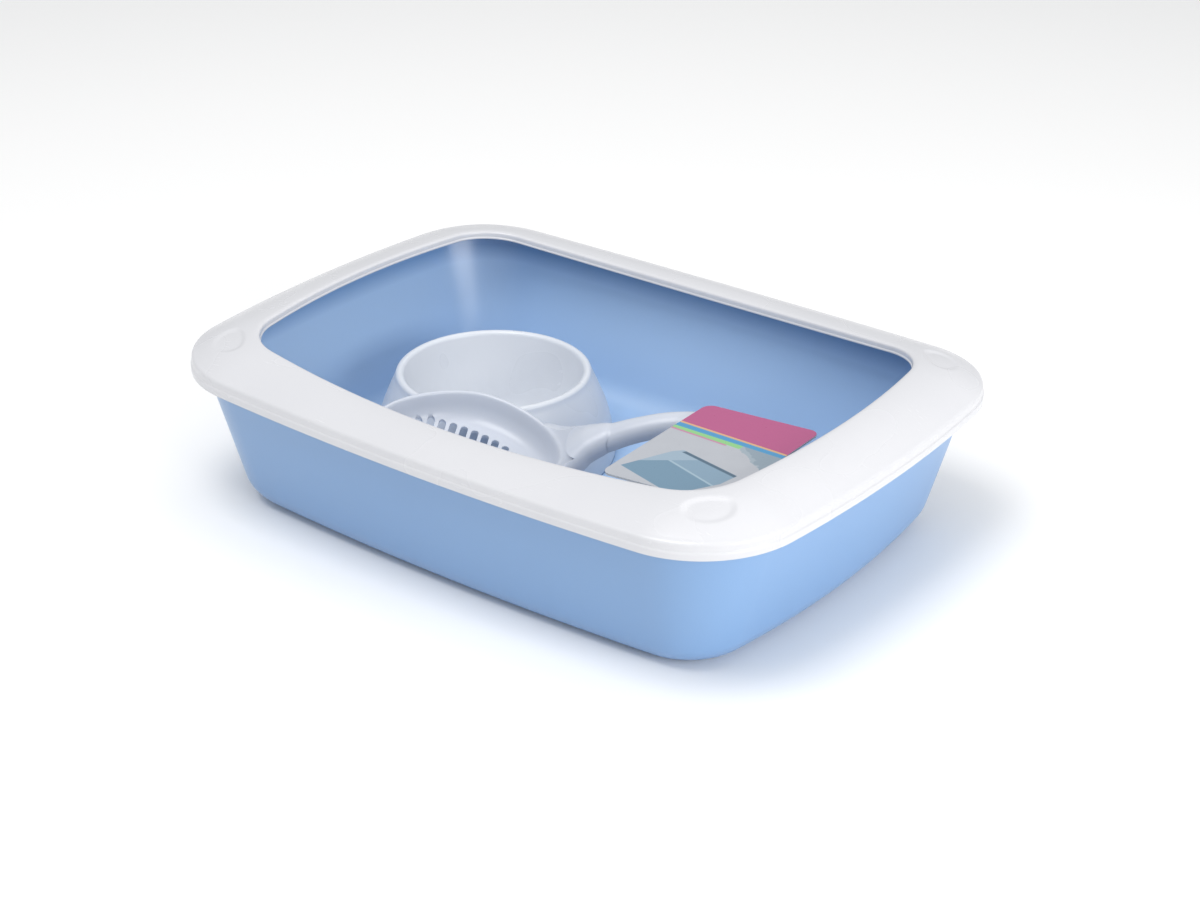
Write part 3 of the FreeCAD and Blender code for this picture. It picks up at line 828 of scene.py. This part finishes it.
links.new(given.outputs["Geometry"], joined.inputs["Mesh 2"])
links.new(trimmed.outputs["Mesh"], joined.inputs["Mesh 2"])
links.new(joined.outputs["Mesh"], slotted.inputs["Mesh 1"])
links.new(lowered.outputs["Geometry"], slotted.inputs["Mesh 2"])
links.new(slotted.outputs["Mesh"], real.inputs["Geometry"])
links.new(real.outputs["Geometry"], painted.inputs["Geometry"])
links.new(given.outputs["Material"], painted.inputs["Material"])
links.new(painted.outputs["Geometry"], put_out.inputs["Geometry"])

# The scoop's plastic is the bowl's plastic painted darker: painted shade for the shade that the scoop
# lies in, low in the tray under the card.
scoop_plastic_painted_shade = moulded(
    "scoop_white_plastic", (0.56, 0.60, 0.68), (0.60, 0.635, 0.705), (0.28, 0.33), 30.0, 0.12)
handle_solid = finished(handle_mesh, None)
hollow_solid = finished(hollow_mesh, None)
dish_solid = finished(dish_mesh, None)
scoop_mesh = made_by(tree, "litter_scoop_shell", dish_mesh, {
    "Handle": handle_solid, "Hollow": hollow_solid, "Count": slot_count, "First": slot_first * MM,
    "Pitch": slot_pitch * MM, "Width": slot_width * MM, "Reach": slot_reach * MM,
    "Longest At": slot_longest_at * MM, "Shortening": slot_shortening / MM,
    "Dish Half Length": dish_half_length * MM, "Dish Half Width": dish_half_width * MM,
    "Power": dish_power, "Margin": slot_margin * MM, "Depth": slot_cut_depth * MM,
    "Material": scoop_plastic_painted_shade})
for helper in (handle_solid, hollow_solid, dish_solid):
    bpy.data.objects.remove(helper)
scoop_mesh.transform(Matrix.Translation(scoop_middle * MM) @ scoop_turn.to_matrix().to_4x4())
litter_scoop = finished(scoop_mesh, scoop_plastic_painted_shade, sharp=38.0)
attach(litter_scoop, "scoop")
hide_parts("litter_scoop")


# ---------------------------------------------------------------- the printed card
# A stiff coated card with rounded corners, printed in four colours on its upper face: bands of
# colour along its far edge over off-white, and a plain picture of a tray. It lies on the handle.
card_corner = Vector((85.2, 4.4, 88.3))
card_turn = Euler((math.radians(-0.9), math.radians(-2.4), math.radians(2.6)), "XYZ")
card_width = 72.5
card_length = 104.0
card_thickness = 1.2
card_round = 6.0
print_start = Vector((83.7, 7.4, 88.3))  # the print's own corner, trimmed a little at the edges

card_outline = []
for cx, cy, start in ((card_width - card_round, -card_round, 0.0), (card_round, -card_round, 90.0),
                      (card_round, card_round - card_length, 180.0),
                      (card_width - card_round, card_round - card_length, 270.0)):
    for k in range(9):
        turn = math.radians(start + 90.0 * k / 8)
        card_outline.append((cx + card_round * math.cos(turn), cy + card_round * math.sin(turn)))
card_rings = [
    [Vector((x, y, height)) for x, y in card_outline]
    for height in (0.0, card_thickness)]
card_mesh = skin_mesh("info_card_board", card_rings)
card_mesh.transform(Matrix.Translation(card_corner * MM) @ card_turn.to_matrix().to_4x4())

paper, nodes, links, shader = new_material("card_paper")
place = add(nodes, "ShaderNodeTexCoord")
fibre = add(nodes, "ShaderNodeTexNoise", Scale=1500.0, Detail=3.0)
tone = add(nodes, "ShaderNodeMix", {"data_type": "RGBA"})
tone.inputs["A"].default_value = (0.68, 0.69, 0.68, 1.0)
tone.inputs["B"].default_value = (0.78, 0.78, 0.77, 1.0)
relief = add(nodes, "ShaderNodeBump", Strength=0.2, Distance=0.0001)
links.new(place.outputs["Object"], fibre.inputs["Vector"])
links.new(fibre.outputs["Fac"], tone.inputs["Factor"])
links.new(tone.outputs["Result"], shader.inputs["Base Color"])
links.new(fibre.outputs["Fac"], relief.inputs["Height"])
links.new(relief.outputs["Normal"], shader.inputs["Normal"])
shader.inputs["Roughness"].default_value = 0.7

# One straight edge of a printed shape: all of the card beyond a slanted line is left out.
edge_group = bpy.data.node_groups.new("print_edge", "ShaderNodeTree")
for socket, kind in (
        ("Vector", "NodeSocketVector"), ("Offset", "NodeSocketFloat"), ("Slope", "NodeSocketFloat")):
    edge_group.interface.new_socket(socket, in_out="INPUT", socket_type=kind)
edge_group.interface.new_socket("Above", in_out="OUTPUT", socket_type="NodeSocketFloat")
edge_group.interface.new_socket("Below", in_out="OUTPUT", socket_type="NodeSocketFloat")
nodes, links = edge_group.nodes, edge_group.links
given = add(nodes, "NodeGroupInput")
put_out = add(nodes, "NodeGroupOutput")
apart = add(nodes, "ShaderNodeSeparateXYZ")
links.new(given.outputs["Vector"], apart.inputs["Vector"])
line_at = maths("MULTIPLY_ADD", apart.outputs["X"], given.outputs["Slope"], given.outputs["Offset"])
steep = maths("SQRT", maths("MULTIPLY_ADD", given.outputs["Slope"], given.outputs["Slope"], 1.0))
past = maths("DIVIDE", maths("SUBTRACT", line_at, apart.outputs["Y"]), steep)
soft = add(nodes, "ShaderNodeMapRange", From_Min=-0.18, From_Max=0.18)
links.new(past, soft.inputs["Value"])
links.new(soft.outputs["Result"], put_out.inputs["Above"])
links.new(maths("SUBTRACT", 1.0, soft.outputs["Result"]), put_out.inputs["Below"])

print_ink, nodes, links, shader = new_material("card_print")
place = add(nodes, "ShaderNodeTexCoord")
on_card = add(nodes, "ShaderNodeMapping", {"vector_type": "TEXTURE"}, Location=print_start * MM,
              Rotation=card_turn, Scale=(MM, -MM, MM))
links.new(place.outputs["Object"], on_card.inputs["Vector"])
wobble = add(nodes, "ShaderNodeTexNoise", Scale=0.22, Detail=2.0)
links.new(on_card.outputs["Vector"], wobble.inputs["Vector"])
wavy = add(nodes, "ShaderNodeVectorMath", {"operation": "MULTIPLY_ADD"})
wavy.inputs[1].default_value = (7.0, 7.0, 0.0)
links.new(wobble.outputs["Color"], wavy.inputs[0])
links.new(on_card.outputs["Vector"], wavy.inputs[2])


def edge(offset, slope, side, where=on_card):
    """The mask on one side of the line that starts offset down the card and drops by slope."""
    node = nodes.new("ShaderNodeGroup")
    node.node_tree = edge_group
    node.inputs["Offset"].default_value = offset
    node.inputs["Slope"].default_value = slope
    links.new(where.outputs["Vector"], node.inputs["Vector"])
    return node.outputs[side]


def every(*masks):
    """Where all of the masks are."""
    made = masks[0]
    for mask in masks[1:]:
        made = maths("MULTIPLY", made, mask)
    return made


def printed(under, mask, colour):
    """colour printed over what is under it, where the mask is."""
    mix = nodes.new("ShaderNodeMix")
    mix.data_type = "RGBA"
    mix.inputs["B"].default_value = (*colour, 1.0)
    links.new(under, mix.inputs["A"])
    links.new(mask, mix.inputs["Factor"])
    return mix.outputs["Result"]


speck = add(nodes, "ShaderNodeTexNoise", Scale=0.09, Detail=2.0)
links.new(on_card.outputs["Vector"], speck.inputs["Vector"])
body_tone = add(nodes, "ShaderNodeMix", {"data_type": "RGBA"})
body_tone.inputs["A"].default_value = (0.42, 0.44, 0.48, 1.0)
body_tone.inputs["B"].default_value = (0.46, 0.48, 0.52, 1.0)
links.new(speck.outputs["Fac"], body_tone.inputs["Factor"])
ink = body_tone.outputs["Result"]

# Darker over the card's far part and widest at its right end, with a soft wavy edge and a lighter step
# along its left part.
dark_wedge = every(edge(15.0, 0.66, "Above", wavy))
ink = printed(ink, dark_wedge, (0.25, 0.32, 0.38))
dark_wedge_low = every(dark_wedge, edge(-3.0, 0.9, "Below", wavy))
ink = printed(ink, maths("MULTIPLY", dark_wedge_low, 0.6), (0.36, 0.43, 0.48))

tray_shape = every(
    edge(106.7, -2.12, "Below"), edge(84.4, -0.96, "Below"), edge(54.2, 0.306, "Below"),
    edge(441.9, -5.65, "Above"), edge(92.4, 0.38, "Above"), edge(185.6, -1.57, "Above"))
ink = printed(ink, tray_shape, (0.21, 0.32, 0.42))
left_band = every(tray_shape, edge(91.3, -0.62, "Above"))
ink = printed(ink, left_band, (0.30, 0.40, 0.49))
tray_inside = every(tray_shape, edge(91.3, -0.62, "Below"), edge(67.0, 0.404, "Below"))
ink = printed(ink, tray_inside, (0.15, 0.26, 0.36))
light_line = every(
    tray_shape, edge(65.6, 0.404, "Below"), edge(67.0, 0.404, "Above"), edge(91.3, -0.62, "Below"))
ink = printed(ink, light_line, (0.32, 0.44, 0.52))
dark_line = every(tray_shape, edge(56.6, 0.306, "Above"), edge(98.0, -1.4, "Below"))
ink = printed(ink, dark_line, (0.07, 0.13, 0.19))

ink = printed(ink, every(edge(40.2, 0.125, "Above"), edge(520.0, -12.0, "Above")), (0.50, 0.20, 0.34))
ink = printed(ink, every(edge(38.6, 0.13, "Above"), edge(620.0, -12.0, "Above")), (0.25, 0.55, 0.22))
ink = printed(ink, edge(35.6, 0.105, "Above"), (0.06, 0.28, 0.52))
ink = printed(ink, edge(31.1, 0.113, "Above"), (0.64, 0.38, 0.20))
ink = printed(ink, edge(29.4, 0.113, "Above"), (0.43, 0.085, 0.22))
links.new(ink, shader.inputs["Base Color"])

coat_noise = add(nodes, "ShaderNodeTexNoise", Scale=0.8, Detail=3.0)
coat_rough = add(nodes, "ShaderNodeMapRange", To_Min=0.24, To_Max=0.36)
relief = add(nodes, "ShaderNodeBump", Strength=0.08, Distance=0.0002)
links.new(on_card.outputs["Vector"], coat_noise.inputs["Vector"])
links.new(coat_noise.outputs["Fac"], coat_rough.inputs["Value"])
links.new(coat_rough.outputs["Result"], shader.inputs["Roughness"])
links.new(coat_noise.outputs["Fac"], relief.inputs["Height"])
links.new(relief.outputs["Normal"], shader.inputs["Normal"])

info_card = finished(card_mesh, paper)
card_mesh.materials.append(print_ink)
card_up = card_turn.to_matrix() @ Vector((0, 0, 1))
for face in card_mesh.polygons:
    face.material_index = 1 if face.normal.dot(card_up) > 0.9 else 0
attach(info_card, "card")
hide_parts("info_card")
